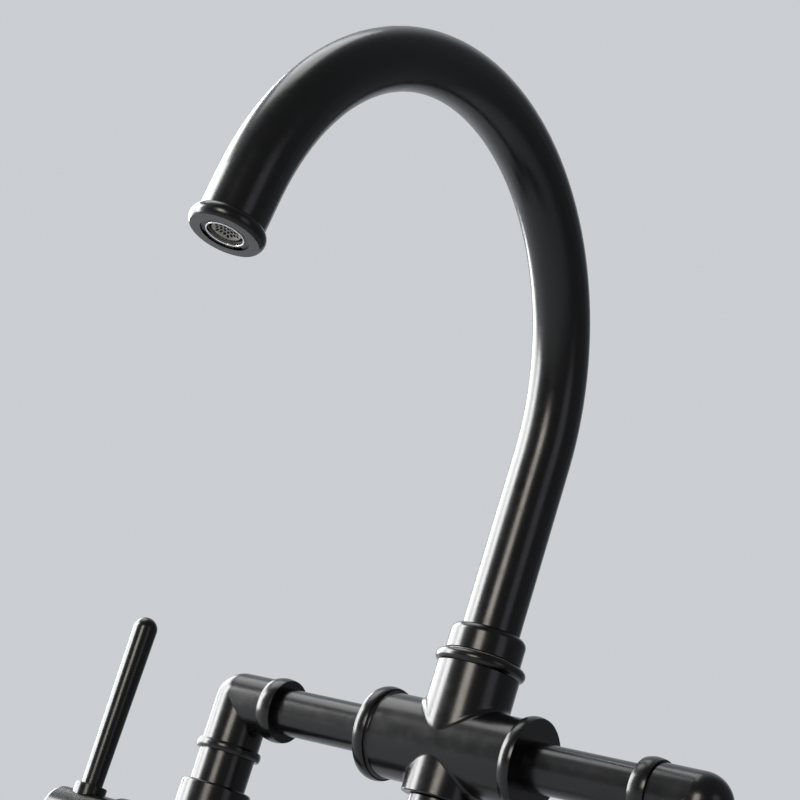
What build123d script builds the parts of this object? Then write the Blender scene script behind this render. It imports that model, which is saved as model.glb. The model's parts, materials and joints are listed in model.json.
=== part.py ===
from build123d import *

import os
from math import cos, radians, sin

# Bridge kitchen faucet for two deck holes: a gooseneck spout swivels on a bridge between two valve columns.
# Frame: millimetres, +Z up, origin on the deck's top face midway between its holes, -Y towards the user.

# ---- Driving dimensions ----------------------------------------------------------------------------------
HALF_SPAN = 101.6           # half of the 8 inch spacing of the deck holes
BRIDGE_Z = 118.0            # height of the bridge's axis above the deck
VALVE_Z = BRIDGE_Z - 60.0   # height of the valves' horizontal axes

# Spout: tube, bend and outlet
TUBE_R = 11.0
TUBE_BORE_R = 9.8
BEND_R = 100.6
BEND_DEG = 171.4
RISE_TOP_Z = BRIDGE_Z + 113.4   # where the straight rise meets the bend
DROP = 19.8                     # straight run from the bend to the outlet's face
FACE_R = 11.7
BEAD_R = 12.8
BEAD_HEIGHT = 5.0
OUTLET_BORE_R = 8.2
OUTLET_BORE_DEPTH = 14.0

# Spout base and swivel joint
NECK_R = 15.7
NECK_RIM_R = 17.2
NECK_RIM_Z = BRIDGE_Z + 29.7
NECK_RIM_HEIGHT = 4.6
NECK_TOP_Z = NECK_RIM_Z + NECK_RIM_HEIGHT
GLIDE_THICKNESS = 0.6
COLLAR_R = 14.4
COLLAR_Z = NECK_TOP_Z + GLIDE_THICKNESS + 0.05
COLLAR_HEIGHT = 10.3
COLLAR_ROUND = 3.1
NECK_BORE_R = 11.2
NECK_BORE_Z = BRIDGE_Z + 6.0
SPIGOT_R = 11.12
SPIGOT_BORE_R = 6.5
SPIGOT_Z = NECK_BORE_Z + 0.5
SPIGOT_RING_Z = (BRIDGE_Z + 12.0, BRIDGE_Z + 28.0)
SET_SCREW_Z = BRIDGE_Z + 20.0
SET_SCREW_R = 2.5
RETAINING_GROOVE_R = 9.2

# Bridge: barrel, stub, arms and elbows
BARREL_R = 16.0
BARREL_HALF = 29.9
FLANGE_R = 17.8
FLANGE_THICKNESS = 4.6
CROWN = 0.5                 # how far the rim of a turned ring stands up between its two edges
STUB_R = 14.9
STUB_DROP = 19.8
PLUG_R = 8.4
CAP_R = 11.5
CAP_HEIGHT = 10.0
CAP_ROUND = 3.0
PLUG_LENGTH = 12.0
PLUG_BORE_TOP = BRIDGE_Z - 4.0
WATERWAY_R = 6.8
ARM_R = 9.0
ARM_BORE_R = 7.5
ARM_INNER_X = 23.0
ARM_OUTER_X = 91.5
ARM_GAP = 0.2               # room left beyond each end of an arm in its socket
RING_INNER_X = 79.3
RING_THICKNESS = 6.2
RING_R = 12.6
ELBOW_R = 11.3
LEG_RING_R = 12.9
LEG_RING_TOP = BRIDGE_Z - 17.8
LEG_RING_BOTTOM = BRIDGE_Z - 21.4

# Valve columns
PILLAR_R = 11.0
BODY_R = 13.9
BODY_TOP = BRIDGE_Z - 34.2
BODY_BOTTOM = 2 * VALVE_Z - BODY_TOP
FOOT_R = 11.5
FOOT_Z = 9.0
SOCKET_R = 9.0
COLUMN_SPIGOT_R = 8.92
COLUMN_SPIGOT_TOP = BRIDGE_Z - 10.0
COLUMN_RING_Z = BRIDGE_Z - 15.0
INLET_BORE_R = 5.5
OUTLET_PORT_R = 2.8

# Valves and handles: distances d are measured outboard from the column's axis
BOSS_R = 11.9
BOSS_D = 22.0
NOSE_R = 11.2
NOSE_D = 26.0
CHAMBER_R = 9.5
SEAT_D = 7.0
SEAT_PORT_R = 4.8
CARTRIDGE_R = 9.3
CARTRIDGE_BORE_R = 7.3
CHANNEL_R = 8.3             # waist of the cartridge that leaves a ring-shaped channel around it
DISC_D = 9.5
DISC_THICKNESS = 3.0
DISC_GAP = 0.05
DISC_R = 7.0
PORT_OUTER_R = 5.6
PORT_INNER_R = 2.4
STEM_R = 4.0
STEM_BORE_R = 4.05
STEM_RING_D = 31.0
STEM_END_D = 45.0
BONNET_RING_R = 13.4
BONNET_RING_END_D = 30.5
BONNET_R = 10.6
BONNET_END_D = 38.0
HUB_START_D = 38.6
HUB_END_D = 76.0
HUB_R = 11.0
HUB_RING_R = 12.2
LEVER_D = 62.3
LEVER_FOOT_R = 4.3
LEVER_TIP_R = 5.0
LEVER_TOP_Z = BRIDGE_Z + 25.4

# Deck fixing
DECK_THICKNESS = 30.0
DECK_FLANGE_R = 27.0
GASKET_THICKNESS = 1.8
SHANK_NECK_R = 10.2
THREAD_R = 10.48
SHANK_BORE_R = 6.0
THREAD_RELIEF_Z = -DECK_THICKNESS - 17.0
SHANK_END_Z = THREAD_RELIEF_Z - 17.0
NUT_ACROSS_FLATS = 32.0

SLIP = 0.05                 # gap left between pieces that push or screw together
END_GAP = 0.5               # room left beyond the end of a spigot, stem or plug in its bore
GROOVE_HALF = 1.0           # half the width of an O-ring groove
SOFT_EDGE = 0.6             # small radii on the outer edges of turned pieces
RING_EDGE = 0.7
CRISP_EDGE = 0.4
SIDES = {"left": -1, "right": 1}

os.makedirs("parts", exist_ok=True)


# ---- Helpers ---------------------------------------------------------------------------------------------
def save(piece, name):
    """Label the finished part and write it as its own node."""
    piece.part.label = name
    export_step(piece.part, f"parts/{name}.step")


def turn(points, plane=Plane.XZ, mode=Mode.ADD):
    """Revolve a closed outline of (radius, height) points about the plane's own Y axis."""
    with BuildSketch(plane) as outline:
        with BuildLine():
            Polyline(*points, close=True)
        make_face()
    revolve(outline.sketch, axis=Axis(plane.origin, plane.y_dir), mode=mode)


def tube(outer_r, inner_r, low, high, plane=Plane.XZ, mode=Mode.ADD):
    """A plain turned ring or sleeve from height low to height high; inner_r of 0 gives a solid rod."""
    turn([(inner_r, low), (outer_r, low), (outer_r, high), (inner_r, high)], plane, mode)


def bead(edge_r, crown_r, low, high, plane=Plane.XZ):
    """A turned ring whose rim is an arc: edge_r at its two ends and crown_r at the middle of its height."""
    with BuildSketch(plane) as section:
        with BuildLine():
            rim = ThreePointArc((edge_r, low), (crown_r, (low + high) / 2), (edge_r, high))
            Polyline(rim @ 1, (0, high), (0, low), rim @ 0)
        make_face()
    revolve(section.sketch, axis=Axis(plane.origin, plane.y_dir))


def seal(centre_r, section_r, plane):
    """An O-ring lying in the plane that is normal to the given plane's Y axis."""
    with BuildSketch(plane) as section:
        with Locations((centre_r, 0)):
            Circle(section_r)
    revolve(section.sketch, axis=Axis(plane.origin, plane.y_dir))


def rims(piece, radius, tolerance=0.01):
    """The piece's circular edges of this radius."""
    circles = piece.edges().filter_by(GeomType.CIRCLE)
    return circles.filter_by(lambda edge: abs(edge.radius - radius) < tolerance)


def outer_end(edges, side):
    """The edge that lies farthest out on its side."""
    return edges.sort_by(Axis.X)[-1 if side > 0 else 0]


def column(side, z=0.0):
    """A plane through one column's axis, with its Y axis up and its origin at height z."""
    return Plane(origin=(side * HALF_SPAN, 0, z), x_dir=(1, 0, 0), z_dir=(0, -1, 0))


def outboard(side, d=0.0):
    """A plane through one valve's axis, with its Y axis pointing outboard from the column's axis."""
    return Plane(origin=(side * (HALF_SPAN + d), 0, VALVE_Z), x_dir=(0, 0, 1), z_dir=(0, side, 0))


def along_bridge(side=1, x=0.0):
    """A plane through the bridge's axis, with its Y axis pointing to one side."""
    return Plane(origin=(side * x, 0, BRIDGE_Z), x_dir=(0, 0, 1), z_dir=(0, side, 0))


def level(z):
    """A plane through the spout's axis, with its Y axis up and its origin at height z."""
    return Plane(origin=(0, 0, z), x_dir=(1, 0, 0), z_dir=(0, -1, 0))


# ---- Bridge ----------------------------------------------------------------------------------------------
FLANGE_END = BARREL_HALF + FLANGE_THICKNESS
STUB_BOTTOM = BRIDGE_Z - STUB_DROP
SOCKET_GROOVE_R = ARM_R + 1.75
ARM_RING_X = (28.5, RING_INNER_X + RING_THICKNESS / 2)
NECK_RIM_STEP = 0.1
NECK_BLEND = 3.0            # radii of the hollow blends where the body's turned forms meet
STUB_BLEND = 1.5
FLANGE_BLEND = 1.0


def crossings(piece, low, high):
    """The curved edges, no circles, that lie between two heights."""
    return piece.edges().filter_by(lambda e: e.geom_type != GeomType.CIRCLE and low <= e.center().Z <= high)


with BuildPart() as bridge_body:
    tube(BARREL_R, 0, -BARREL_HALF, BARREL_HALF, along_bridge())
    tube(NECK_R, 0, BRIDGE_Z, NECK_RIM_Z)
    fillet(crossings(bridge_body, BRIDGE_Z, NECK_RIM_Z), NECK_BLEND)
    tube(STUB_R, 0, STUB_BOTTOM, BRIDGE_Z)
    fillet(crossings(bridge_body, STUB_BOTTOM, BRIDGE_Z), STUB_BLEND)
    fillet(rims(bridge_body, STUB_R).sort_by(Axis.Z)[0], SOFT_EDGE)
    bead(NECK_R - NECK_RIM_STEP, NECK_RIM_R, NECK_RIM_Z, NECK_TOP_Z)
    for side in SIDES.values():
        bead(FLANGE_R - CROWN, FLANGE_R, BARREL_HALF, FLANGE_END, along_bridge(side))
    fillet(rims(bridge_body, BARREL_R), FLANGE_BLEND)
    tube(WATERWAY_R, 0, -FLANGE_END, FLANGE_END, along_bridge(), Mode.SUBTRACT)
    tube(NECK_BORE_R, 0, NECK_BORE_Z, NECK_TOP_Z, mode=Mode.SUBTRACT)
    tube(WATERWAY_R, 0, BRIDGE_Z, NECK_BORE_Z, mode=Mode.SUBTRACT)
    tube(PLUG_R + SLIP, 0, STUB_BOTTOM, PLUG_BORE_TOP, mode=Mode.SUBTRACT)
    for side in SIDES.values():
        tube(ARM_R + SLIP, 0, ARM_INNER_X - ARM_GAP, FLANGE_END, along_bridge(side), Mode.SUBTRACT)
        groove = (ARM_RING_X[0] - GROOVE_HALF, ARM_RING_X[0] + GROOVE_HALF)
        tube(SOCKET_GROOVE_R, 0, *groove, along_bridge(side), Mode.SUBTRACT)
    with Locations(Location((0, NECK_R * 3 / 4, SET_SCREW_Z), (90, 0, 0))):
        Cylinder(SET_SCREW_R + SLIP, NECK_R, mode=Mode.SUBTRACT)
save(bridge_body, "bridge_body")

# Closing cap of the stub: a plug, a turned head with a rounded lower edge, and a hexagon key socket
CAP_TOP = STUB_BOTTOM - SLIP
CAP_RING_Z = CAP_TOP + 6.0
CAP_RING_SECTION_R = 0.7
CAP_GROOVE_R = PLUG_R - 2 * CAP_RING_SECTION_R
CAP_KEY_ACROSS_FLATS = 8.0
CAP_KEY_DEPTH = 5.0
with BuildPart() as bottom_cap:
    tube(CAP_R, 0, CAP_TOP - CAP_HEIGHT, CAP_TOP)
    tube(PLUG_R, 0, CAP_TOP, CAP_TOP + PLUG_LENGTH)
    groove = (CAP_RING_Z - GROOVE_HALF, CAP_RING_Z + GROOVE_HALF)
    tube(PLUG_R, CAP_GROOVE_R, *groove, mode=Mode.SUBTRACT)
    fillet(rims(bottom_cap, CAP_R).sort_by(Axis.Z)[0], CAP_ROUND)
    fillet(rims(bottom_cap, CAP_R).sort_by(Axis.Z)[-1], CRISP_EDGE)
    with BuildSketch(Plane.XY.offset(CAP_TOP - CAP_HEIGHT)):
        RegularPolygon(CAP_KEY_ACROSS_FLATS / 2, 6, major_radius=False)
    extrude(amount=CAP_KEY_DEPTH, mode=Mode.SUBTRACT)
save(bottom_cap, "bottom_cap")

with BuildPart() as cap_o_ring:
    seal(CAP_GROOVE_R + CAP_RING_SECTION_R + 0.03, CAP_RING_SECTION_R, level(CAP_RING_Z))
save(cap_o_ring, "cap_o_ring")

for name, side in SIDES.items():
    with BuildPart() as bridge_arm:
        tube(ARM_R, ARM_BORE_R, ARM_INNER_X, ARM_OUTER_X, along_bridge(side))
    save(bridge_arm, f"bridge_arm_{name}")

    ring_outer_x = RING_INNER_X + RING_THICKNESS
    with BuildPart() as elbow:
        tube(ELBOW_R, 0, ring_outer_x, HALF_SPAN, along_bridge(side))
        tube(ELBOW_R, 0, LEG_RING_TOP, BRIDGE_Z, column(side))
        with Locations((side * HALF_SPAN, 0, BRIDGE_Z)):
            Sphere(ELBOW_R)
        bead(RING_R - CROWN, RING_R, RING_INNER_X, ring_outer_x, along_bridge(side))
        bead(LEG_RING_R - CROWN, LEG_RING_R, LEG_RING_BOTTOM, LEG_RING_TOP, column(side))
        tube(WATERWAY_R, 0, RING_INNER_X, HALF_SPAN, along_bridge(side), Mode.SUBTRACT)
        tube(WATERWAY_R, 0, LEG_RING_BOTTOM, BRIDGE_Z, column(side), Mode.SUBTRACT)
        with Locations((side * HALF_SPAN, 0, BRIDGE_Z)):
            Sphere(WATERWAY_R, mode=Mode.SUBTRACT)
        tube(ARM_R + SLIP, 0, RING_INNER_X, ARM_OUTER_X + ARM_GAP, along_bridge(side), Mode.SUBTRACT)
        groove = (ARM_RING_X[1] - GROOVE_HALF, ARM_RING_X[1] + GROOVE_HALF)
        tube(SOCKET_GROOVE_R, 0, *groove, along_bridge(side), Mode.SUBTRACT)
        tube(SOCKET_R, 0, LEG_RING_BOTTOM, COLUMN_SPIGOT_TOP + END_GAP, column(side), Mode.SUBTRACT)
    save(elbow, f"elbow_{name}")

# Seals of the bridge's push-in joints
ARM_RING_SECTION_R = 0.82
COLUMN_GROOVE_R = 7.3
COLUMN_RING_SECTION_R = 0.8
COLUMN_RING_CENTRE_R = COLUMN_GROOVE_R + COLUMN_RING_SECTION_R + 0.02
with BuildPart() as arm_o_rings:
    for side in SIDES.values():
        for x in ARM_RING_X:
            seal(ARM_R + SLIP + ARM_RING_SECTION_R, ARM_RING_SECTION_R, along_bridge(side, x))
save(arm_o_rings, "arm_o_rings")

with BuildPart() as elbow_o_rings:
    for side in SIDES.values():
        seal(COLUMN_RING_CENTRE_R, COLUMN_RING_SECTION_R, column(side, COLUMN_RING_Z))
save(elbow_o_rings, "elbow_o_rings")

# ---- Valve columns ---------------------------------------------------------------------------------------
SHANK_SOCKET_TOP = FOOT_Z + 15.0
SHANK_SPIGOT_R = 8.0
COLUMN_BORE_BOTTOM = VALVE_Z + 18.0
BODY_EDGE = 1.2
PORT_START = (11.5, 8.3)     # the slanted port runs from this point of the chamber (outboard, up) ...
PORT_RISE = 22.0             # ... to this height above the valve on the column's axis

for name, side in SIDES.items():
    with BuildPart() as valve_body:
        tube(BODY_R, 0, BODY_BOTTOM, BODY_TOP, column(side))
        tube(BOSS_R, 0, 0, BOSS_D, outboard(side))
        tube(PILLAR_R, 0, BODY_TOP, LEG_RING_BOTTOM, column(side))
        tube(FOOT_R, 0, FOOT_Z, BODY_BOTTOM, column(side))
        fillet(rims(valve_body, BODY_R), BODY_EDGE)
        tube(COLUMN_SPIGOT_R, 0, LEG_RING_BOTTOM, COLUMN_SPIGOT_TOP, column(side))
        tube(NOSE_R, 0, BOSS_D, NOSE_D, outboard(side))
        groove = (COLUMN_RING_Z - GROOVE_HALF, COLUMN_RING_Z + GROOVE_HALF)
        tube(SOCKET_R, COLUMN_GROOVE_R, *groove, column(side), Mode.SUBTRACT)
        tube(SHANK_SPIGOT_R + SLIP, 0, FOOT_Z, SHANK_SOCKET_TOP, column(side), Mode.SUBTRACT)
        tube(INLET_BORE_R, 0, SHANK_SOCKET_TOP, VALVE_Z + INLET_BORE_R, column(side), Mode.SUBTRACT)
        tube(SEAT_PORT_R, 0, 0, SEAT_D, outboard(side), Mode.SUBTRACT)
        tube(CHAMBER_R, 0, SEAT_D, NOSE_D, outboard(side), Mode.SUBTRACT)
        tube(INLET_BORE_R, 0, COLUMN_BORE_BOTTOM, COLUMN_SPIGOT_TOP, column(side), Mode.SUBTRACT)
        port_start = Vector(side * (HALF_SPAN + PORT_START[0]), 0, VALVE_Z + PORT_START[1])
        port_end = Vector(side * HALF_SPAN, 0, VALVE_Z + PORT_RISE)
        with BuildSketch(Plane(origin=port_start, z_dir=port_end - port_start)) as port:
            Circle(OUTLET_PORT_R)
        extrude(port.sketch, amount=(port_end - port_start).length, mode=Mode.SUBTRACT)
    save(valve_body, f"valve_body_{name}")

# ---- Quarter-turn valves ---------------------------------------------------------------------------------
FIXED_DISC_END = DISC_D + DISC_THICKNESS
MOVING_DISC_D = FIXED_DISC_END + DISC_GAP
MOVING_DISC_END = MOVING_DISC_D + DISC_THICKNESS
DISC_CHAMBER_END = MOVING_DISC_END + 2.0
STEM_RING_CENTRE_R = 3.34
STEM_RING_SECTION_R = 0.62
STEM_GROOVE_R = STEM_RING_CENTRE_R - STEM_RING_SECTION_R
STEM_GROOVE_HALF = 0.75
STEM_SHOULDER_D = DISC_CHAMBER_END - 0.1
CARTRIDGE_FLANGE = 2.0
CARTRIDGE_NOSE_R = 6.5
CARTRIDGE_END_D = NOSE_D + 9.0
SIDE_WINDOW = 6.0            # width of the two openings in the cartridge's wall, level with the moving disc
PORT_SPAN = (4, 82)          # first angle and extent of a quarter port
SCREW_R = 2.0
SCREW_LENGTH = 9.0


def sector_ports(side, start_d, thickness, outer_r, start_angle):
    """Cut two opposite quarter ports through a disc, the first starting at this angle from straight up."""
    with BuildSketch(Plane(outboard(side, start_d).origin, x_dir=(0, 0, 1), z_dir=(side, 0, 0))) as ports:
        with PolarLocations(0, 2, start_angle=start_angle):
            with BuildLine():
                inner = CenterArc((0, 0), PORT_INNER_R, *PORT_SPAN)
                outer = CenterArc((0, 0), outer_r, *PORT_SPAN)
                Line(inner @ 0, outer @ 0)
                Line(inner @ 1, outer @ 1)
            make_face()
    extrude(ports.sketch, amount=thickness, mode=Mode.SUBTRACT)


for name, side in SIDES.items():
    with BuildPart() as cartridge_body:
        tube(CARTRIDGE_R, CARTRIDGE_BORE_R, SEAT_D + END_GAP, DISC_CHAMBER_END, outboard(side))
        tube(CARTRIDGE_R, STEM_BORE_R, DISC_CHAMBER_END, NOSE_D, outboard(side))
        tube(NOSE_R - 0.2, STEM_BORE_R, NOSE_D, NOSE_D + CARTRIDGE_FLANGE, outboard(side))
        tube(CARTRIDGE_NOSE_R, STEM_BORE_R, NOSE_D + CARTRIDGE_FLANGE, CARTRIDGE_END_D, outboard(side))
        tube(CHAMBER_R, CHANNEL_R, DISC_D, DISC_CHAMBER_END, outboard(side), Mode.SUBTRACT)
        with Locations(outboard(side, MOVING_DISC_D + DISC_THICKNESS / 2).location):
            Box(4 * CARTRIDGE_R, DISC_THICKNESS, SIDE_WINDOW, mode=Mode.SUBTRACT)
    save(cartridge_body, f"cartridge_body_{name}")

    with BuildPart() as fixed_disc:
        tube(DISC_R + 0.2, 0, DISC_D, FIXED_DISC_END, outboard(side))
        sector_ports(side, DISC_D, DISC_THICKNESS, PORT_OUTER_R, start_angle=-45)
    save(fixed_disc, f"fixed_disc_{name}")

    with BuildPart() as moving_disc:
        tube(DISC_R, 0, MOVING_DISC_D, MOVING_DISC_END, outboard(side))
        sector_ports(side, MOVING_DISC_D, DISC_THICKNESS, DISC_R + 1, start_angle=45)
    save(moving_disc, f"moving_disc_{name}")

    with BuildPart() as stem:
        tube(DISC_R - 0.1, 0, MOVING_DISC_END, STEM_SHOULDER_D, outboard(side))
        tube(STEM_R, 0, STEM_SHOULDER_D, STEM_END_D, outboard(side))
        groove = (STEM_RING_D - STEM_GROOVE_HALF, STEM_RING_D + STEM_GROOVE_HALF)
        tube(STEM_R, STEM_GROOVE_R, *groove, outboard(side), Mode.SUBTRACT)
        tube(SCREW_R + SLIP, 0, STEM_END_D - SCREW_LENGTH - 1, STEM_END_D, outboard(side), Mode.SUBTRACT)
    save(stem, f"stem_{name}")

    with BuildPart() as stem_o_ring:
        seal(STEM_RING_CENTRE_R, STEM_RING_SECTION_R, outboard(side, STEM_RING_D))
    save(stem_o_ring, f"stem_o_ring_{name}")

SEAT_SEAL_BORE_R = 5.2
with BuildPart() as seat_seals:
    for side in SIDES.values():
        tube(DISC_R, SEAT_SEAL_BORE_R, SEAT_D, DISC_D, outboard(side))
save(seat_seals, "seat_seals")

# ---- Handles ---------------------------------------------------------------------------------------------
SCREW_HEAD_D = 51.0
HUB_BORE_R = 5.5
BUTTON_D = HUB_END_D - 5.0
BUTTON_CAP_R = 6.8
BUTTON_CAP_HEIGHT = 1.2
BUTTON_ROUND = 0.8
HUB_RING_LENGTH = 4.0
HUB_ROUND = 2.5
SCREW_HEAD_R = 4.0
SCREW_HEAD_HEIGHT = 3.0
SCREW_KEY = (3.0, 2.0)       # across the flats of the hexagon socket, and its depth
LEVER_COLLAR_R = 6.6
LEVER_COLLAR_HALF = 3.0      # the collar reaches this far each way from the hub's surface
LEVER_PIN_R = 4.0

for name, side in SIDES.items():
    with BuildPart() as bonnet:
        tube(BONNET_RING_R, 0, BOSS_D, BONNET_RING_END_D, outboard(side))
        tube(BONNET_R, 0, BONNET_RING_END_D, BONNET_END_D, outboard(side))
        fillet(rims(bonnet, BONNET_RING_R), RING_EDGE)
        fillet(outer_end(rims(bonnet, BONNET_R), side), SOFT_EDGE)
        tube(NOSE_R + SLIP, 0, BOSS_D, NOSE_D + CARTRIDGE_FLANGE + SLIP, outboard(side), Mode.SUBTRACT)
        tube(CARTRIDGE_NOSE_R + SLIP, 0, BOSS_D, BONNET_END_D, outboard(side), Mode.SUBTRACT)
    save(bonnet, f"bonnet_{name}")

    with BuildPart() as handle_hub:
        tube(HUB_RING_R, 0, HUB_START_D, HUB_START_D + HUB_RING_LENGTH, outboard(side))
        tube(HUB_R, 0, HUB_START_D + HUB_RING_LENGTH, HUB_END_D, outboard(side))
        fillet(rims(handle_hub, HUB_RING_R), RING_EDGE)
        fillet(outer_end(rims(handle_hub, HUB_R), side), HUB_ROUND)
        tube(STEM_R + SLIP, 0, HUB_START_D, STEM_END_D + END_GAP, outboard(side), Mode.SUBTRACT)
        tube(SCREW_R + 0.3, 0, STEM_END_D, SCREW_HEAD_D, outboard(side), Mode.SUBTRACT)
        tube(HUB_BORE_R, 0, SCREW_HEAD_D, HUB_END_D, outboard(side), Mode.SUBTRACT)
        hole_start = Vector(side * (HALF_SPAN + LEVER_D), 0, VALVE_Z + HUB_BORE_R - 1)
        with BuildSketch(Plane(origin=hole_start)) as lever_hole:
            Circle(LEVER_PIN_R + SLIP)
        extrude(lever_hole.sketch, amount=HUB_R, mode=Mode.SUBTRACT)
    save(handle_hub, f"handle_hub_{name}")

    with BuildPart() as handle_screw:
        head_end = SCREW_HEAD_D + SCREW_HEAD_HEIGHT
        tube(SCREW_R, 0, STEM_END_D - SCREW_LENGTH, SCREW_HEAD_D, outboard(side))
        tube(SCREW_HEAD_R, 0, SCREW_HEAD_D, head_end, outboard(side))
        key_plane = Plane(outboard(side, head_end).origin, x_dir=(0, 0, 1), z_dir=(-side, 0, 0))
        with BuildSketch(key_plane) as key:
            RegularPolygon(SCREW_KEY[0] / 2, 6, major_radius=False)
        extrude(key.sketch, amount=SCREW_KEY[1], mode=Mode.SUBTRACT)
    save(handle_screw, f"handle_screw_{name}")

    with BuildPart() as index_button:
        tube(HUB_BORE_R - SLIP, 0, BUTTON_D, HUB_END_D, outboard(side))
        tube(BUTTON_CAP_R, 0, HUB_END_D, HUB_END_D + BUTTON_CAP_HEIGHT, outboard(side))
        fillet(outer_end(rims(index_button, BUTTON_CAP_R), side), BUTTON_ROUND)
    save(index_button, f"index_button_{name}")

    lever_plane = Plane(origin=(side * (HALF_SPAN + LEVER_D), 0, VALVE_Z), x_dir=(1, 0, 0), z_dir=(0, -1, 0))
    dome_z = LEVER_TOP_Z - VALVE_Z - LEVER_TIP_R
    with BuildPart() as lever:
        tube(LEVER_COLLAR_R, 0, HUB_R - LEVER_COLLAR_HALF, HUB_R + LEVER_COLLAR_HALF, lever_plane)
        fillet(rims(lever, LEVER_COLLAR_R).sort_by(Axis.Z)[-1], SOFT_EDGE)
        tube(HUB_R + SLIP, 0, LEVER_D - HUB_R, LEVER_D + HUB_R, outboard(side), Mode.SUBTRACT)
        tube(LEVER_PIN_R, 0, HUB_BORE_R + END_GAP, HUB_R + 1, lever_plane)
        turn([(0, HUB_R + 2), (LEVER_FOOT_R, HUB_R + 2), (LEVER_TIP_R, dome_z), (0, dome_z)], lever_plane)
        with Locations((side * (HALF_SPAN + LEVER_D), 0, VALVE_Z + dome_z)):
            Sphere(LEVER_TIP_R)
    save(lever, f"lever_{name}")

# ---- Deck fixing -----------------------------------------------------------------------------------------
FLANGE_RISE = 14.0
WASHER_Z = -DECK_THICKNESS
RUBBER_THICKNESS = 2.5
STEEL_THICKNESS = 1.5
NUT_HEIGHT = 8.0
NUT_CHAMFER = (3.5, 2.0)     # the chamfer's width past the flats, and its depth at the corners
PLAIN_END_Z = WASHER_Z + 1.0
RELIEF_WIDTH = 2.0
RELIEF_DEPTH = 1.0
THREAD_CHAMFER = 0.8
FLANGE_BORE_R = FOOT_R + 0.2
CUFF_R = 14.2
CUFF_FOOT_Z = FLANGE_RISE - 3.4
SHOULDER_R = 15.0
SKIRT_FOOT_Z = 2.6
SKIRT_ARC_R = 22.0
SKIRT_WALL = 2.4
SKIRT_EDGE = 0.8

for name, side in SIDES.items():
    with BuildPart() as shank:
        tube(SHANK_SPIGOT_R, SHANK_BORE_R, FOOT_Z - SLIP, SHANK_SOCKET_TOP - 1, column(side))
        tube(SHANK_NECK_R, SHANK_BORE_R, PLAIN_END_Z, FOOT_Z - SLIP, column(side))
        tube(THREAD_R, SHANK_BORE_R, THREAD_RELIEF_Z, PLAIN_END_Z, column(side))
        relief_end = THREAD_RELIEF_Z - RELIEF_WIDTH
        tube(THREAD_R - RELIEF_DEPTH, SHANK_BORE_R, relief_end, THREAD_RELIEF_Z, column(side))
        tube(THREAD_R, SHANK_BORE_R, SHANK_END_Z, relief_end, column(side))
        chamfer(rims(shank, THREAD_R).sort_by(Axis.Z)[0], THREAD_CHAMFER)
    save(shank, f"shank_{name}")

    with BuildPart() as deck_flange:
        with BuildSketch(column(side)) as profile:
            with BuildLine():
                cuff = Polyline((FLANGE_BORE_R, FLANGE_RISE), (CUFF_R, FLANGE_RISE), (CUFF_R, CUFF_FOOT_Z))
                shoulder = Line(cuff @ 1, (SHOULDER_R, CUFF_FOOT_Z))
                skirt = RadiusArc(shoulder @ 1, (DECK_FLANGE_R, SKIRT_FOOT_Z), SKIRT_ARC_R)
                Polyline(
                    skirt @ 1,
                    (DECK_FLANGE_R, 0),
                    (DECK_FLANGE_R - SKIRT_WALL, 0),
                    (DECK_FLANGE_R - SKIRT_WALL, GASKET_THICKNESS),
                    (FOOT_R + 3, FLANGE_RISE - 8),
                    (FLANGE_BORE_R, FLANGE_RISE - 6),
                    cuff @ 0,
                )
            make_face()
        revolve(profile.sketch, axis=Axis((side * HALF_SPAN, 0, 0), (0, 0, 1)))
        fillet(rims(deck_flange, CUFF_R), RING_EDGE)
        fillet(rims(deck_flange, DECK_FLANGE_R).sort_by(Axis.Z)[-1], SKIRT_EDGE)
    save(deck_flange, f"deck_flange_{name}")

with BuildPart() as deck_gaskets:
    for side in SIDES.values():
        tube(DECK_FLANGE_R - SKIRT_WALL - 0.2, SHANK_NECK_R + 0.3, 0, GASKET_THICKNESS, column(side))
save(deck_gaskets, "deck_gaskets")

RUBBER_WASHER_R = 20.0
with BuildPart() as under_deck_washers:
    for side in SIDES.values():
        tube(RUBBER_WASHER_R, THREAD_R + 0.5, WASHER_Z - RUBBER_THICKNESS, WASHER_Z, column(side))
save(under_deck_washers, "under_deck_washers")

STEEL_Z = WASHER_Z - RUBBER_THICKNESS
STEEL_WASHER_R = 19.0
with BuildPart() as clamp_washers:
    for side in SIDES.values():
        tube(STEEL_WASHER_R, THREAD_R + 0.3, STEEL_Z - STEEL_THICKNESS, STEEL_Z, column(side))
save(clamp_washers, "clamp_washers")

NUT_TOP = STEEL_Z - STEEL_THICKNESS
with BuildPart() as lock_nuts:
    for side in SIDES.values():
        with BuildSketch(Plane(origin=(side * HALF_SPAN, 0, NUT_TOP - NUT_HEIGHT))) as hexagon:
            RegularPolygon(NUT_ACROSS_FLATS / 2, 6, major_radius=False)
        extrude(hexagon.sketch, amount=NUT_HEIGHT)
        tube(THREAD_R + SLIP, 0, NUT_TOP - NUT_HEIGHT, NUT_TOP, column(side), Mode.SUBTRACT)
        for face_z, inward in ((NUT_TOP, -1), (NUT_TOP - NUT_HEIGHT, 1)):
            flat_r = NUT_ACROSS_FLATS / 2 - 0.3
            outer_r = flat_r + NUT_CHAMFER[0]
            corner = (outer_r, face_z + inward * NUT_CHAMFER[1])
            turn([(flat_r, face_z), (outer_r, face_z), corner], column(side), Mode.SUBTRACT)
save(lock_nuts, "lock_nuts")

# ---- Spout -----------------------------------------------------------------------------------------------
TUBE_START_Z = COLLAR_Z + 2.0
TUBE_END_STEP = 1.0          # how far the tube stops short of the outlet's face
SPIGOT_REACH = 9.0           # how far the spigot runs up inside the tube
SPIGOT_GROOVE_R = 9.0
SPIGOT_GROOVE_HALF = 1.2
SPIGOT_RING = (10.1, 1.05)   # radius of the O-ring's centre line and of its section
RETAINING_HALF = 2.9
SET_SCREW_TIP = RETAINING_GROOVE_R + 0.4

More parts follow.
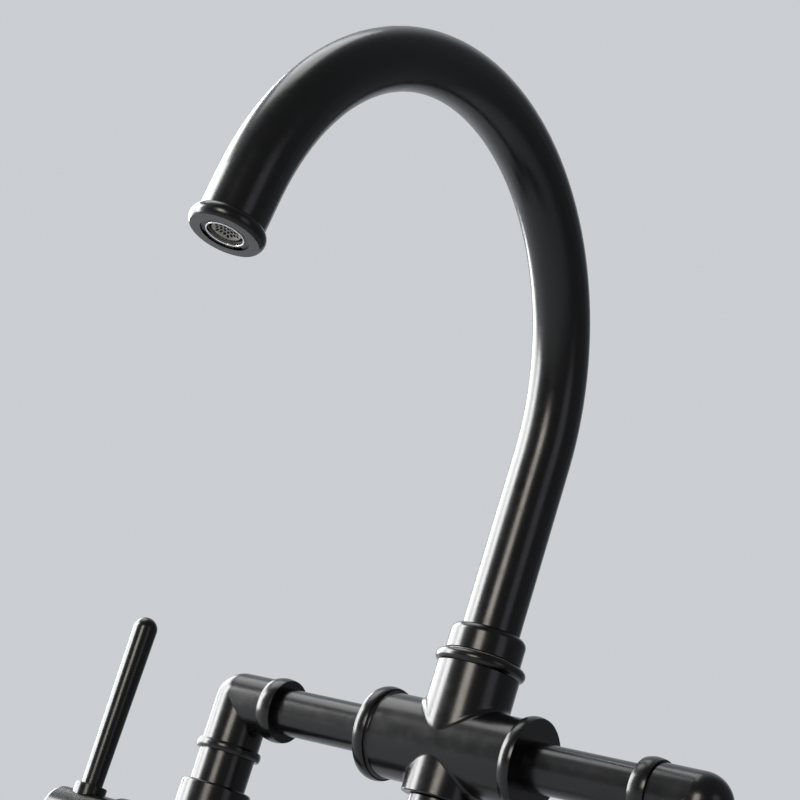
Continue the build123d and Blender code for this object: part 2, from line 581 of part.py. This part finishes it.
with BuildLine(Plane.YZ) as spout_path:
    rise = Line((0, TUBE_START_Z), (0, RISE_TOP_Z))
    bend = JernArc(start=rise @ 1, tangent=rise % 1, radius=BEND_R, arc_size=BEND_DEG)
    drop = Line(bend @ 1, bend @ 1 + (DROP - TUBE_END_STEP) * (bend % 1))

OUTLET_DIR = bend % 1
OUTLET_FACE = bend @ 1 + DROP * OUTLET_DIR


def up_the_outlet(depth=0.0):
    """A plane through the outlet's axis, with its Y axis pointing into the tube from the outlet's face."""
    inward = OUTLET_DIR * -1
    return Plane(origin=OUTLET_FACE + depth * inward, x_dir=(1, 0, 0), z_dir=Vector(1, 0, 0).cross(inward))


def across_outlet(depth):
    """A plane square to the outlet's axis, facing into the tube."""
    return Plane(origin=OUTLET_FACE - depth * OUTLET_DIR, x_dir=(1, 0, 0), z_dir=OUTLET_DIR * -1)


with BuildPart() as spout_tube:
    with BuildSketch(Plane.XY.offset(TUBE_START_Z)):
        Circle(TUBE_R)
        Circle(TUBE_BORE_R, mode=Mode.SUBTRACT)
    sweep(path=spout_path.line)
save(spout_tube, "spout_tube")

with BuildPart() as spout_base_collar:
    tube(COLLAR_R, TUBE_R + SLIP, COLLAR_Z, COLLAR_Z + COLLAR_HEIGHT)
    fillet(rims(spout_base_collar, COLLAR_R).sort_by(Axis.Z)[-1], COLLAR_ROUND)
    fillet(rims(spout_base_collar, COLLAR_R).sort_by(Axis.Z)[0], CRISP_EDGE)
save(spout_base_collar, "spout_base_collar")

with BuildPart() as spout_spigot:
    tube(SPIGOT_R, SPIGOT_BORE_R, SPIGOT_Z, COLLAR_Z)
    tube(TUBE_R, SPIGOT_BORE_R, COLLAR_Z, TUBE_START_Z - SLIP)
    tube(TUBE_BORE_R - SLIP, SPIGOT_BORE_R, TUBE_START_Z - SLIP, TUBE_START_Z + SPIGOT_REACH)
    for ring_z in SPIGOT_RING_Z:
        groove = (ring_z - SPIGOT_GROOVE_HALF, ring_z + SPIGOT_GROOVE_HALF)
        tube(NECK_BORE_R, SPIGOT_GROOVE_R, *groove, mode=Mode.SUBTRACT)
    retaining = (SET_SCREW_Z - RETAINING_HALF, SET_SCREW_Z + RETAINING_HALF)
    tube(NECK_BORE_R, RETAINING_GROOVE_R, *retaining, mode=Mode.SUBTRACT)
save(spout_spigot, "spout_spigot")

with BuildPart() as spout_o_rings:
    for ring_z in SPIGOT_RING_Z:
        seal(*SPIGOT_RING, level(ring_z))
save(spout_o_rings, "spout_o_rings")

with BuildPart() as glide_ring:
    tube(COLLAR_R - CRISP_EDGE, SPIGOT_R + 0.3, NECK_TOP_Z, NECK_TOP_Z + GLIDE_THICKNESS)
save(glide_ring, "glide_ring")

SET_SCREW_KEY = (2.5, 2.5)   # across the flats of the hexagon socket, and its depth
with BuildPart() as spout_set_screw:
    screw_length = NECK_R - RETAINING_GROOVE_R - 1.0
    with Locations(Location((0, SET_SCREW_TIP + screw_length / 2, SET_SCREW_Z), (90, 0, 0))):
        Cylinder(SET_SCREW_R, screw_length)
    with BuildSketch(Plane(origin=(0, NECK_R, SET_SCREW_Z), z_dir=(0, -1, 0))) as key:
        RegularPolygon(SET_SCREW_KEY[0] / 2, 6, major_radius=False)
    extrude(key.sketch, amount=SET_SCREW_KEY[1], mode=Mode.SUBTRACT)
save(spout_set_screw, "spout_set_screw")

# ---- Outlet and aerator ----------------------------------------------------------------------------------
with BuildPart() as outlet_collar:
    with BuildSketch(up_the_outlet()) as section:
        with BuildLine():
            face = Line((OUTLET_BORE_R, 0), (FACE_R, 0))
            belly = ThreePointArc(face @ 1, (BEAD_R, BEAD_HEIGHT / 2), (FACE_R, BEAD_HEIGHT))
            Polyline(
                belly @ 1,
                (TUBE_R + SLIP, BEAD_HEIGHT),
                (TUBE_R + SLIP, TUBE_END_STEP),
                (TUBE_BORE_R - SLIP, TUBE_END_STEP),
                (TUBE_BORE_R - SLIP, OUTLET_BORE_DEPTH),
                (OUTLET_BORE_R, OUTLET_BORE_DEPTH),
                (OUTLET_BORE_R, 0),
            )
        make_face()
    revolve(section.sketch, axis=Axis(OUTLET_FACE, OUTLET_DIR))
save(outlet_collar, "outlet_collar")

HOUSING_R = OUTLET_BORE_R - SLIP
HOUSING_BORE_R = 6.65
KEY_DEPTH = 1.4
NOTCH_COUNT = 4
NOTCH_WIDTH = 3.4
NOTCH_DEPTH = 1.8
HOUSING_SPAN = (0.5, 10.5)   # depths of the housing's two ends
TRIM_BORE_R = 6.05
TRIM_EDGE = 0.2
INSERT_R = HOUSING_BORE_R - SLIP
INSERT_BORE_R = 5.9
TRIM_START = 0.3
TRIM_END = 1.2
CUP_DEPTH = 1.9              # the cup's wall starts here, so a dark gap shows behind the trim ring
FLOOR_DEPTH = 4.2
FLOOR_THICKNESS = 0.8
DOME_DEPTH = 2.0
DOME_R = 4.7
DOME_WALL = 0.8
HOLE_PITCH = 1.35
HOLE_R = 0.48
HOLE_RINGS = 3
HOLE_FIELD_R = DOME_R - 0.95


def sphere_r(rim_r, rise):
    """The radius of the sphere whose cap has this rim radius and this rise."""
    return (rim_r ** 2 + rise ** 2) / (2 * rise)


DOME_SPHERE_R = sphere_r(DOME_R, FLOOR_DEPTH - DOME_DEPTH)
INNER_SPHERE_R = sphere_r(DOME_R - DOME_WALL, FLOOR_DEPTH - DOME_DEPTH - DOME_WALL)

with BuildPart() as aerator_housing:
    tube(HOUSING_R, HOUSING_BORE_R, *HOUSING_SPAN, up_the_outlet())
    with BuildSketch(across_outlet(HOUSING_SPAN[0])) as notches:
        with PolarLocations(HOUSING_R, NOTCH_COUNT):
            Rectangle(NOTCH_DEPTH, NOTCH_WIDTH)
    extrude(notches.sketch, amount=KEY_DEPTH, mode=Mode.SUBTRACT)
save(aerator_housing, "aerator_housing")

with BuildPart() as aerator_trim_ring:
    tube(INSERT_R, TRIM_BORE_R, TRIM_START, TRIM_END, up_the_outlet())
    fillet(rims(aerator_trim_ring, TRIM_BORE_R) + rims(aerator_trim_ring, INSERT_R), TRIM_EDGE)
save(aerator_trim_ring, "aerator_trim_ring")

# The screen is a cup with a perforated dome on its floor; the holes lie in a hexagonal lattice
with BuildPart() as aerator_screen:
    tube(INSERT_R, INSERT_BORE_R, CUP_DEPTH, FLOOR_DEPTH, up_the_outlet())
    tube(INSERT_R, DOME_R - DOME_WALL, FLOOR_DEPTH, FLOOR_DEPTH + FLOOR_THICKNESS, up_the_outlet())
    with BuildSketch(up_the_outlet()) as dome:
        with BuildLine():
            crown = RadiusArc((DOME_R, FLOOR_DEPTH), (0, DOME_DEPTH), DOME_SPHERE_R)
            hollow = (DOME_R - DOME_WALL, FLOOR_DEPTH)
            inner = RadiusArc((0, DOME_DEPTH + DOME_WALL), hollow, -INNER_SPHERE_R)
            Line(crown @ 1, inner @ 0)
            Line(inner @ 1, crown @ 0)
        make_face()
    revolve(dome.sketch, axis=Axis(OUTLET_FACE, OUTLET_DIR))
    steps = range(-HOLE_RINGS, HOLE_RINGS + 1)
    lattice = [(i + j * cos(radians(60)), j * sin(radians(60))) for i in steps for j in steps]
    centres = [HOLE_PITCH * Vector(*point) for point in lattice]
    with BuildSketch(across_outlet(DOME_DEPTH - 0.1)) as holes:
        with Locations(*[centre for centre in centres if centre.length < HOLE_FIELD_R]):
            Circle(HOLE_R)
    extrude(holes.sketch, amount=FLOOR_DEPTH + FLOOR_THICKNESS - DOME_DEPTH, mode=Mode.SUBTRACT)
save(aerator_screen, "aerator_screen")

DIFFUSER_SPAN = (8.0, 9.4)
DIFFUSER_HUB = (4.0, 6.4)    # radius of the hub and the depth of its end
JET_CIRCLE_R = 5.2
JET_COUNT = 12
JET_R = 0.5
with BuildPart() as aerator_diffuser:
    tube(INSERT_R, 0, *DIFFUSER_SPAN, up_the_outlet())
    tube(DIFFUSER_HUB[0], 0, DIFFUSER_HUB[1], DIFFUSER_SPAN[0], up_the_outlet())
    with BuildSketch(across_outlet(DIFFUSER_SPAN[0])) as jets:
        with PolarLocations(JET_CIRCLE_R, JET_COUNT):
            Circle(JET_R)
    extrude(jets.sketch, amount=DIFFUSER_SPAN[1] - DIFFUSER_SPAN[0], mode=Mode.SUBTRACT)
save(aerator_diffuser, "aerator_diffuser")

WASHER_BORE_R = 5.6
WASHER_THICKNESS = 2.0
with BuildPart() as aerator_washer:
    washer_start = HOUSING_SPAN[1]
    tube(HOUSING_R - 0.2, WASHER_BORE_R, washer_start, washer_start + WASHER_THICKNESS, up_the_outlet())
save(aerator_washer, "aerator_washer")
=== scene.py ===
import json
from math import cos, pi, radians, sin

import bmesh
import bpy
from mathutils import Matrix, Vector


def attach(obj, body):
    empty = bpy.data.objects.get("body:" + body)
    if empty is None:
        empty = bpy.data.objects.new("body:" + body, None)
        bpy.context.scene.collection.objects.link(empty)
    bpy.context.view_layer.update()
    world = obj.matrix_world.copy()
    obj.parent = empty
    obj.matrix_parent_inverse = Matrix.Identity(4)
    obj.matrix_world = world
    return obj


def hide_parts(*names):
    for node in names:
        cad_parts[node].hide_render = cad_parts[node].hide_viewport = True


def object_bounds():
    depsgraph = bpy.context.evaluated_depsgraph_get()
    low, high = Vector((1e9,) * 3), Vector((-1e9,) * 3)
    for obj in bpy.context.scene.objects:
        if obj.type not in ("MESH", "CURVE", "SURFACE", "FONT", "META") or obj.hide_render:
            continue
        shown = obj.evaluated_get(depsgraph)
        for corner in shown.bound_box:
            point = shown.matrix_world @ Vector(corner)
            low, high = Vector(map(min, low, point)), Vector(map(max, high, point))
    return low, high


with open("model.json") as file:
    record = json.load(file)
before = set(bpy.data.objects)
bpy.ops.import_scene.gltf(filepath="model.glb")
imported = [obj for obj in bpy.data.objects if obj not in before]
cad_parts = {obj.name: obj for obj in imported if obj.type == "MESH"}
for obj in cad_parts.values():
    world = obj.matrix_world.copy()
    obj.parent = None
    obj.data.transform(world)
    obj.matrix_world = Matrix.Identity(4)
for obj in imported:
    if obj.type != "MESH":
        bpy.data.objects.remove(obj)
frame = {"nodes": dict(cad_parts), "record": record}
cad_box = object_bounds()


def in_scene(name, data):
    """A new object that holds the data, linked to the scene."""
    made = bpy.data.objects.new(name, data)
    bpy.context.scene.collection.objects.link(made)
    return made


# ---- Camera: the photograph's place, tilt and roll, in the CAD frame ----------------------------
CAMERA_AT = Vector((0.44529, -0.66559, 0.02100))
AZIMUTH = radians(37.94)
TILT = radians(15.163)
ROLL = radians(17.709)
FOCAL_PIXELS = 2182.4
IMAGE_PIXELS = 800
SENSOR_WIDTH = 36.0

forward = Vector((-sin(AZIMUTH) * cos(TILT), cos(AZIMUTH) * cos(TILT), sin(TILT)))
level_right = Vector((cos(AZIMUTH), sin(AZIMUTH), 0))
level_up = level_right.cross(forward)
image_right = level_right * cos(ROLL) + level_up * sin(ROLL)
image_up = level_up * cos(ROLL) - level_right * sin(ROLL)
turn = Matrix((image_right, image_up, -forward)).transposed().to_4x4()
camera_data = bpy.data.cameras.new("camera")
camera_data.sensor_width = SENSOR_WIDTH
camera_data.lens = SENSOR_WIDTH * FOCAL_PIXELS / IMAGE_PIXELS
camera = in_scene("camera", camera_data)
camera.matrix_world = Matrix.Translation(CAMERA_AT) @ turn
bpy.context.scene.camera = camera


# ---- Materials ----------------------------------------------------------------------------------
NOISE_SPAN = (0.3, 0.7)  # where most of a noise's values lie
BUMP_DISTANCE = 0.0001
MIX_SHARE, MIX_A, MIX_B, MIX_RESULT = 0, 6, 7, 2  # the sockets of a Mix node that mixes colours


def map_range(tree, value, span, result=(0.0, 1.0), interpolation="SMOOTHSTEP"):
    """A number that goes from one result to the other while the value crosses the span."""
    node = tree.nodes.new("ShaderNodeMapRange")
    node.interpolation_type = interpolation
    node.inputs["From Min"].default_value, node.inputs["From Max"].default_value = span
    node.inputs["To Min"].default_value, node.inputs["To Max"].default_value = result
    tree.links.new(value, node.inputs["Value"])
    return node.outputs["Result"]


def material(name, light, dark, colour_scale, roughness, roughness_scale, bump, bump_scale,
             **sockets):
    """A procedural surface: soft noise varies its colour and roughness, and fine noise its bump."""
    made = bpy.data.materials.new(name)
    made.use_nodes = True
    tree = made.node_tree
    shader = tree.nodes["Principled BSDF"]
    for socket, value in sockets.items():
        shader.inputs[socket.replace("_", " ")].default_value = value
    place = tree.nodes.new("ShaderNodeTexCoord").outputs["Object"]

    def noise(scale, detail):
        texture = tree.nodes.new("ShaderNodeTexNoise")
        texture.inputs["Scale"].default_value = scale
        texture.inputs["Detail"].default_value = detail
        tree.links.new(place, texture.inputs["Vector"])
        return texture.outputs["Fac"]

    blend = tree.nodes.new("ShaderNodeMix")
    blend.data_type = "RGBA"
    blend.inputs[MIX_A].default_value = (*dark, 1)
    blend.inputs[MIX_B].default_value = (*light, 1)
    tree.links.new(noise(colour_scale, detail=3), blend.inputs[MIX_SHARE])
    tree.links.new(blend.outputs[MIX_RESULT], shader.inputs["Base Color"])
    spread = map_range(tree, noise(roughness_scale, detail=4), NOISE_SPAN, roughness, "LINEAR")
    tree.links.new(spread, shader.inputs["Roughness"])
    relief = tree.nodes.new("ShaderNodeBump")
    relief.inputs["Strength"].default_value = bump
    relief.inputs["Distance"].default_value = BUMP_DISTANCE
    tree.links.new(noise(bump_scale, detail=2), relief.inputs["Height"])
    tree.links.new(relief.outputs["Normal"], shader.inputs["Normal"])
    return made


FINISHES = {
    "matte_black": material("black_coat", (0.0022, 0.0022, 0.0024), (0.0014, 0.0014, 0.0015), 60,
                            (0.20, 0.26), 220, 0.10, 3500, Specular_IOR_Level=0.45),
    "brass": material("turned_brass", (0.72, 0.53, 0.24), (0.55, 0.38, 0.15), 90,
                      (0.24, 0.36), 300, 0.15, 2500, Metallic=1.0),
    "steel": material("plain_steel", (0.62, 0.62, 0.63), (0.48, 0.48, 0.50), 120,
                      (0.28, 0.42), 400, 0.15, 3000, Metallic=1.0),
    "bright_ring": material("bright_ring", (0.80, 0.80, 0.80), (0.68, 0.68, 0.69), 120,
                            (0.12, 0.20), 500, 0.05, 2500, Metallic=1.0),
    "rubber": material("black_rubber", (0.022, 0.022, 0.022), (0.012, 0.012, 0.012), 150,
                       (0.62, 0.78), 350, 0.4, 1800),
    "black_plastic": material("dark_plastic", (0.020, 0.020, 0.021), (0.012, 0.012, 0.012), 200,
                              (0.38, 0.5), 500, 0.2, 4000),
    "pale_plastic": material("pale_plastic", (0.36, 0.35, 0.32), (0.20, 0.19, 0.17), 2600,
                             (0.35, 0.55), 900, 0.5, 5200),
    "ceramic_disc": material("lapped_ceramic", (0.88, 0.87, 0.84), (0.80, 0.79, 0.76), 120,
                             (0.18, 0.30), 300, 0.08, 3000),
    "hot_mark": material("hot_mark", (0.50, 0.035, 0.028), (0.38, 0.022, 0.018), 200,
                         (0.22, 0.3), 300, 0.08, 3000),
    "cold_mark": material("cold_mark", (0.030, 0.11, 0.48), (0.018, 0.07, 0.36), 200,
                          (0.22, 0.3), 300, 0.08, 3000),
}
for part in frame["record"]["subparts"]:
    for slot in frame["nodes"][part["node"]].material_slots:
        slot.material = FINISHES[part["material_slot"]]

# Painted shade: the holes and the places under the edges of the aerator's cup are darkened to a
# near-black brown where little is open around them.
PAINTED_SHADE = (0.020, 0.013, 0.010, 1)
PAINTED_SHADE_REACH = 0.0016
PAINTED_SHADE_SAMPLES = 8
PAINTED_SHADE_SPAN = (0.35, 0.80)  # how open a place is where it is all painted shade, and where it keeps the plastic's own colour

plastic = FINISHES["pale_plastic"].node_tree
hollow = plastic.nodes.new("ShaderNodeAmbientOcclusion")
hollow.samples = PAINTED_SHADE_SAMPLES
hollow.inputs["Distance"].default_value = PAINTED_SHADE_REACH
# Painted shade: a near-black brown mixed over the plastic's colour where the occlusion is high.
painted_shade = plastic.nodes.new("ShaderNodeMix")
painted_shade.data_type = "RGBA"
painted_shade.inputs[MIX_A].default_value = PAINTED_SHADE
plastic.links.new(map_range(plastic, hollow.outputs["AO"], PAINTED_SHADE_SPAN), painted_shade.inputs[MIX_SHARE])
plastic.links.new(plastic.nodes["Mix"].outputs[MIX_RESULT], painted_shade.inputs[MIX_B])
plastic.links.new(painted_shade.outputs[MIX_RESULT], plastic.nodes["Principled BSDF"].inputs["Base Color"])


# ---- Turned forms -------------------------------------------------------------------------------
TURN_STEPS = 90
ANGLES = [2 * pi * i / TURN_STEPS for i in range(TURN_STEPS)]
SAME_POINT = 1e-7
SHARP_ANGLE = radians(50)


def as_object(name, form):
    """An object in the scene made of a finished bmesh, which is freed."""
    mesh = bpy.data.meshes.new(name)
    form.to_mesh(mesh)
    form.free()
    return in_scene(name, mesh)


def skin(name, finish, rings):
    """A closed form: quads between successive rings of points, and between the last and first."""
    shell = bmesh.new()
    grid = [[shell.verts.new(spot) for spot in ring] for ring in rings]
    for upper, lower in zip(grid, grid[1:] + grid[:1]):
        for i in range(TURN_STEPS):
            j = (i + 1) % TURN_STEPS
            shell.faces.new((upper[i], lower[i], lower[j], upper[j]))
    bmesh.ops.remove_doubles(shell, verts=shell.verts, dist=SAME_POINT)
    bmesh.ops.recalc_face_normals(shell, faces=shell.faces)
    piece = as_object(name, shell)
    piece.data.materials.append(finish)
    return piece


def smooth(mesh):
    """Smooth shading, with sharp edges kept where faces meet at a clear angle."""
    mesh.shade_smooth()
    mesh.set_sharp_from_angle(angle=SHARP_ANGLE)


# ---- Threaded shanks: the CAD solids are plain where the real ones carry a pipe thread ----------
HALF_SPAN = 0.1016
PLAIN_FORM = [(0.008, 0.0230), (0.008, 0.00895), (0.0102, 0.00895), (0.0102, -0.0290)]
THREADED = ((-0.0290, -0.0470), (-0.0490, -0.0640))  # the top and bottom of each length
SHANK_TOP = PLAIN_FORM[0][1]
SHANK_END = THREADED[-1][1]
SHANK_BORE_R = 0.006
SHANK_BEVEL = 0.0008
THREAD_R = 0.01048
THREAD_PITCH = 0.001814
THREAD_DEPTH = 0.00100
CREST_WEAR = 0.00004
GROOVE_POWER = 0.8  # below 1, so the grooves are broader than the crests
RINGS_PER_PITCH = 12
RELIEF_R = 0.00948
RELIEF_LENGTH = 0.002


def thread_r(z, angle, top, bottom):
    """The radius of a right-handed thread that runs out over half a pitch at both its ends."""
    ramp = min(1.0, (top - z) / THREAD_PITCH * 2, (z - bottom) / THREAD_PITCH * 2)
    phase = z / THREAD_PITCH - angle / (2 * pi)
    groove = 0.5 - 0.5 * cos(2 * pi * phase)
    return THREAD_R - CREST_WEAR - THREAD_DEPTH * max(0.0, ramp) * groove ** GROOVE_POWER


def shank_rings():
    """The rings of a shank, down its outside and up its bore: a height, and a radius per angle."""
    rings = [(z, [r] * TURN_STEPS) for r, z in PLAIN_FORM]
    for top, bottom in THREADED:
        count = round((top - bottom) / THREAD_PITCH * RINGS_PER_PITCH)
        levels = [top + (bottom - top) * i / count for i in range(count + 1)]
        rings += [(z, [thread_r(z, angle, top, bottom) for angle in ANGLES]) for z in levels]
        if bottom > SHANK_END:
            rings += [(z, [RELIEF_R] * TURN_STEPS) for z in (bottom, bottom - RELIEF_LENGTH)]
    bevel_z = SHANK_END + SHANK_BEVEL
    outside = [(z, [min(r, THREAD_R - max(0.0, bevel_z - z)) for r in radii])
               for z, radii in rings]
    bore = [(z, [SHANK_BORE_R] * TURN_STEPS) for z in (SHANK_END, SHANK_TOP)]
    return outside + bore


for side, sign in (("left", -1), ("right", 1)):
    turned = [[(sign * HALF_SPAN + r * cos(angle), r * sin(angle), z)
               for r, angle in zip(radii, ANGLES)] for z, radii in shank_rings()]
    shank = skin(f"threaded_shank_{side}", FINISHES["brass"], turned)
    smooth(shank.data)
    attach(shank, "bridge")
    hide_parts(f"shank_{side}")


# ---- Aerator screen: a cup with a moat around a perforated bowl ---------------------------------
OUTLET_FACE = Vector((0, -0.203026, 0.226859))
OUTLET_TURN = radians(171.4)  # from straight up, forwards to the way the water leaves
OUTLET_WAY = Vector((0, -sin(OUTLET_TURN), cos(OUTLET_TURN)))
ACROSS = Vector((1, 0, 0))
OUTLET_SIDE = OUTLET_WAY.cross(ACROSS)
# A radius and a depth behind the outlet's face for each ring of the cup's front, and of its back.
WALL_FORM = [(0.00660, 0.00125), (0.00610, 0.00125), (0.00602, 0.00320), (0.00560, 0.00345),
             (0.00525, 0.00330), (0.00500, 0.00165), (0.00485, 0.00150), (0.00465, 0.00150)]
BACK_FORM = [(0.0, 0.0039), (0.0050, 0.0041), (0.00660, 0.0041)]
BOWL_R = 0.0045
BOWL_RIM = 0.0016
BOWL_BOTTOM = 0.0032
BOWL_STEPS = 10
SCREEN_PITCH = 0.00131
SCREEN_HOLE_R = 0.00050
SCREEN_HOLE_SIDES = 16
SCREEN_ROWS = range(-3, 4)
DRILL_DEPTH = 0.003
DRILL_LENGTH = 0.004


def in_outlet(r, angle, depth):
    """A point inside the outlet, from its distance and angle about the axis and its depth."""
    return OUTLET_FACE - depth * OUTLET_WAY + r * (cos(angle) * ACROSS + sin(angle) * OUTLET_SIDE)


def bowl_ring(step):
    """The radius and depth of one ring of the bowl, from its rim in to its bottom."""
    outwards = 1 - step / BOWL_STEPS
    return BOWL_R * outwards, BOWL_RIM + (BOWL_BOTTOM - BOWL_RIM) * (1 - outwards ** 2)


cup_form = WALL_FORM + [bowl_ring(step) for step in range(BOWL_STEPS + 1)] + BACK_FORM
screen = skin("perforated_screen", FINISHES["pale_plastic"],
              [[in_outlet(r, angle, depth) for angle in ANGLES] for r, depth in cup_form])
drills = bmesh.new()
square_on = Matrix((ACROSS, OUTLET_SIDE, OUTLET_WAY)).transposed().to_4x4()
for i in SCREEN_ROWS:
    for j in SCREEN_ROWS:
        spot = Vector((i + j * cos(pi / 3), j * sin(pi / 3))) * SCREEN_PITCH
        if spot.length < BOWL_R - SCREEN_HOLE_R:
            centre = (OUTLET_FACE - DRILL_DEPTH * OUTLET_WAY
                      + spot.x * ACROSS + spot.y * OUTLET_SIDE)
            bmesh.ops.create_cone(
                drills, cap_ends=True, segments=SCREEN_HOLE_SIDES, radius1=SCREEN_HOLE_R,
                radius2=SCREEN_HOLE_R, depth=DRILL_LENGTH,
                matrix=Matrix.Translation(centre) @ square_on)
cutter = as_object("drills", drills)
cut = screen.modifiers.new("holes", "BOOLEAN")
cut.operation = "DIFFERENCE"
cut.solver = "EXACT"
cut.object = cutter
bpy.context.view_layer.update()
perforated = bpy.data.meshes.new_from_object(
    screen.evaluated_get(bpy.context.evaluated_depsgraph_get()))
screen.modifiers.clear()
screen.data = perforated
smooth(perforated)
bpy.data.objects.remove(cutter)
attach(screen, "spout")
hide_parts("aerator_screen")


# ---- Stage: floor -------------------------------------------------------------------------------
FLOOR_REACH = 4.0
FLOOR_GAP = 0.0005
FLOOR_FADE = (0.30, 1.3)  # from how far out the floor begins to give way, and where it is gone

floor_z = cad_box[0][2] - FLOOR_GAP
floor_mesh = bpy.data.meshes.new("floor")
floor_mesh.from_pydata([(x * FLOOR_REACH, y * FLOOR_REACH, floor_z)
                        for x, y in ((-1, -1), (1, -1), (1, 1), (-1, 1))], [], [(0, 1, 2, 3)])
floor = in_scene("floor", floor_mesh)
floor_paper = material("floor_paper", (0.46, 0.47, 0.49), (0.43, 0.44, 0.46), 3,
                       (0.6, 0.7), 20, 0.05, 300)
floor_mesh.materials.append(floor_paper)

# The floor gives way to the backdrop with distance, as a paper sweep does, so no horizon shows.
paper = floor_paper.node_tree
far = paper.nodes.new("ShaderNodeVectorMath")
far.operation = "LENGTH"
paper.links.new(paper.nodes.new("ShaderNodeTexCoord").outputs["Object"], far.inputs[0])
sweep = paper.nodes.new("ShaderNodeMixShader")
paper.links.new(map_range(paper, far.outputs["Value"], FLOOR_FADE), sweep.inputs[0])
paper.links.new(paper.nodes["Principled BSDF"].outputs[0], sweep.inputs[1])
paper.links.new(paper.nodes.new("ShaderNodeBsdfTransparent").outputs[0], sweep.inputs[2])
paper.links.new(sweep.outputs[0], paper.nodes["Material Output"].inputs["Surface"])


# ---- Stage: the room, pale behind the object and on its left, and dimmer at the front right -----
BACKDROP = (0.595, 0.615, 0.645, 1)

world = bpy.data.worlds.new("studio")
bpy.context.scene.world = world
world.use_nodes = True
sky = world.node_tree
room = sky.nodes["Background"]
room.inputs["Color"].default_value = BACKDROP
way = sky.nodes.new("ShaderNodeTexCoord").outputs["Generated"]


def towards(angle, rise):
    """The direction so many degrees round from the camera to the object's left, and up."""
    bearing = -pi / 2 + AZIMUTH - radians(angle)
    level = cos(radians(rise))
    return Vector((cos(bearing) * level, sin(bearing) * level, sin(radians(rise))))


def glow(angle, rise, start, full, low, high):
    """A strength that grows from low to high between start and full degrees off a direction."""
    facing = sky.nodes.new("ShaderNodeVectorMath")
    facing.operation = "DOT_PRODUCT"
    facing.inputs[1].default_value = towards(angle, rise)
    sky.links.new(way, facing.inputs[0])
    span = (cos(radians(start)), cos(radians(full)))
    return map_range(sky, facing.outputs["Value"], span, (low, high))


def sum_of(first, second):
    """Two strengths added together."""
    total = sky.nodes.new("ShaderNodeMath")
    total.operation = "ADD"
    sky.links.new(first, total.inputs[0])
    sky.links.new(second, total.inputs[1])
    return total.outputs[0]


wall = glow(141, 12, 80, 51, 0.30, 1.0)
low_left = glow(112, -35, 55, 25, 0.0, 0.6)
low_rear = glow(166, -24, 28, 10, 0.0, 0.45)
sky.links.new(sum_of(sum_of(wall, low_left), low_rear), room.inputs["Strength"])


# ---- Stage: lamps -------------------------------------------------------------------------------
LAMP_REACH = 2.6
LAMP_AIM = Vector((0, -0.05, 0.25))


def softbox(name, angle, rise, width, height, radiance, colour=(1, 1, 1)):
    """A rectangular light aimed at the spout; its sizes are for each metre of its distance."""
    data = bpy.data.lights.new(name, "AREA")
    data.shape = "RECTANGLE"
    data.size = width * LAMP_REACH
    data.size_y = height * LAMP_REACH
    data.energy = radiance * pi * data.size * data.size_y
    data.color = colour
    lamp = in_scene(name, data)
    lamp.location = LAMP_AIM + towards(angle, rise) * LAMP_REACH
    lamp.rotation_euler = (LAMP_AIM - lamp.location).to_track_quat("-Z", "Y").to_euler()


softbox("key", 99, 7, 0.33, 0.80, 19)
softbox("key_rear", 133, 12, 0.80, 0.80, 9.5)
softbox("overhead", 122, 58, 0.64, 0.50, 2.8)
softbox("warm_card", 29, 9, 0.33, 0.37, 9.5, (1.0, 0.94, 0.84))
softbox("cool_card", -40, 14, 0.41, 0.63, 0.75, (0.93, 0.88, 1.0))

bpy.context.scene.view_settings.view_transform = "Standard"
